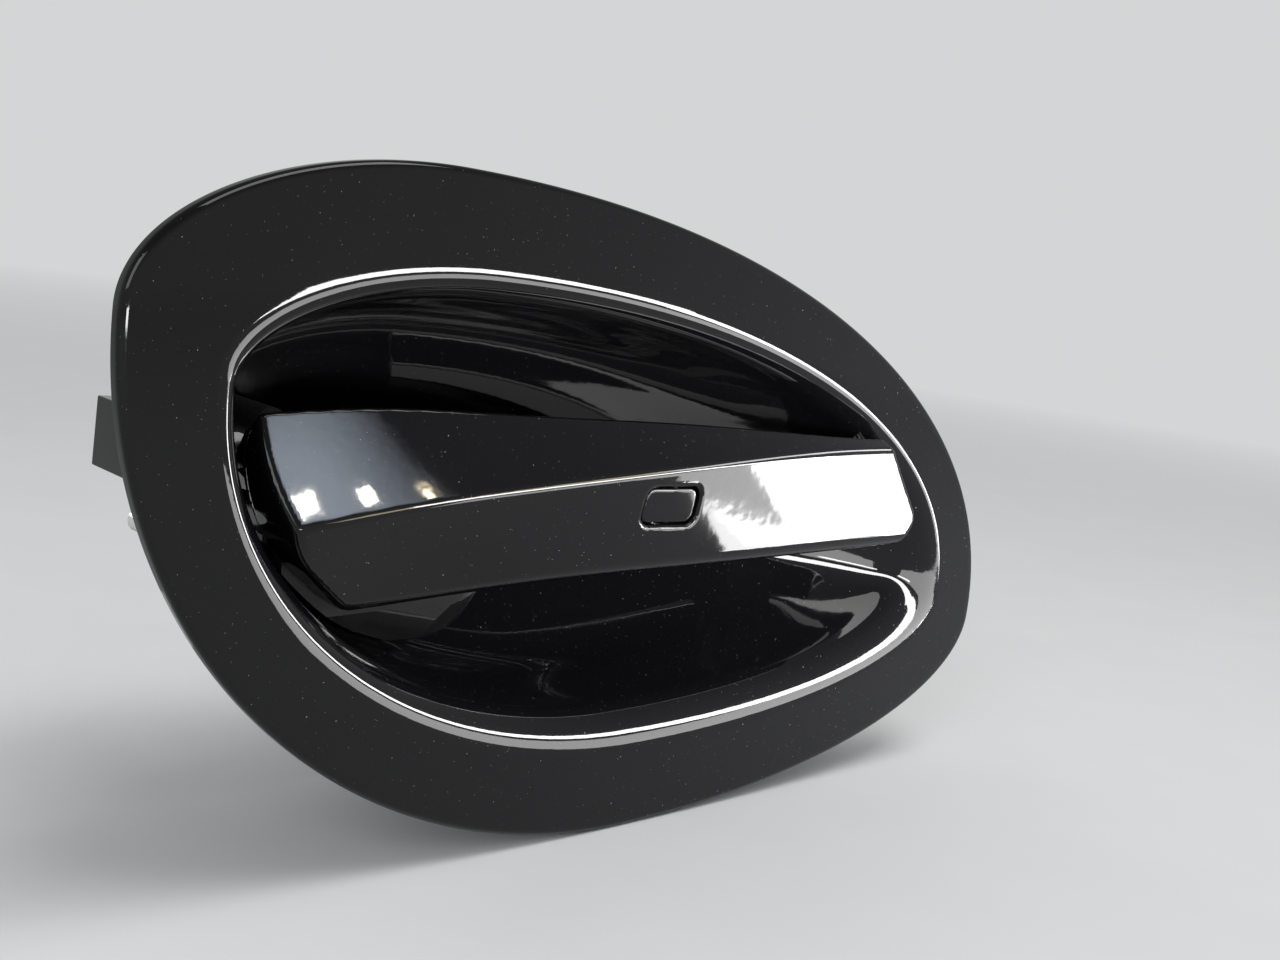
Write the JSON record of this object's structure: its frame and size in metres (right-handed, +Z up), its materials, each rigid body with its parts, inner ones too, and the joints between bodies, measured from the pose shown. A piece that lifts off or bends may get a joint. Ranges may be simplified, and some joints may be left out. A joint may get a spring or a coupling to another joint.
{
  "type": "car door handle",
  "caption": "Exterior pull handle of a car door: strap grip with lock button in an egg-shaped recess, on a carrier with a bell crank.",
  "frame": {"origin": "middle of the stud pattern, in the plane where the flange seats on the outer face of the door skin", "axes": "+X along the handle to the front of the car, +Y into the door, +Z up, for the right-hand side of the car"},
  "size_m": [0.239, 0.0846, 0.1285],
  "materials": {
    "body_paint": "gloss black paint",
    "base_plastic": "semi-gloss moulded black",
    "carrier_plastic": "matt glass-filled",
    "crank_plastic": "natural acetal",
    "roller_plastic": "smooth",
    "rubber": "matt",
    "zinc_steel": "bright zinc plated",
    "pin_steel": "ground",
    "spring_steel": "drawn wire",
    "cast_zinc": "as cast"
  },
  "bodies": {
    "housing": {"recess_bowl": "body_paint", "flange_gasket": "rubber", "door_studs": "zinc_steel", "rear_buffer": "rubber", "carrier": "carrier_plastic", "carrier_screws": "zinc_steel", "pivot_pin": "pin_steel", "crank_pin": "pin_steel"},
    "grip": {"grip_cover": "body_paint", "grip_base": "base_plastic", "lock_button": "body_paint"},
    "crank": {"bell_crank": "crank_plastic", "crank_roller": "roller_plastic", "counterweight": "cast_zinc", "return_spring": "spring_steel"}
  },
  "joints": [
    {"name": "grip_pull", "type": "hinge", "parent": "housing", "child": "grip", "pos_m": [0.07, 0.032, 0.002], "axis": [0, 0, 1], "range_deg": [0, 9], "stiffness_Nm_per_rad": 8, "springref_deg": -5.73},
    {"name": "crank_turn", "type": "hinge", "parent": "housing", "child": "crank", "pos_m": [-0.0715, 0.053, 0.026], "axis": [-1, 0, 0], "range_deg": [0, 59.3], "deforming": ["return_spring"]}
  ],
  "couplings": [
    {"joint": "crank_turn", "follows": "grip_pull", "ratio": 6.578}
  ]
}
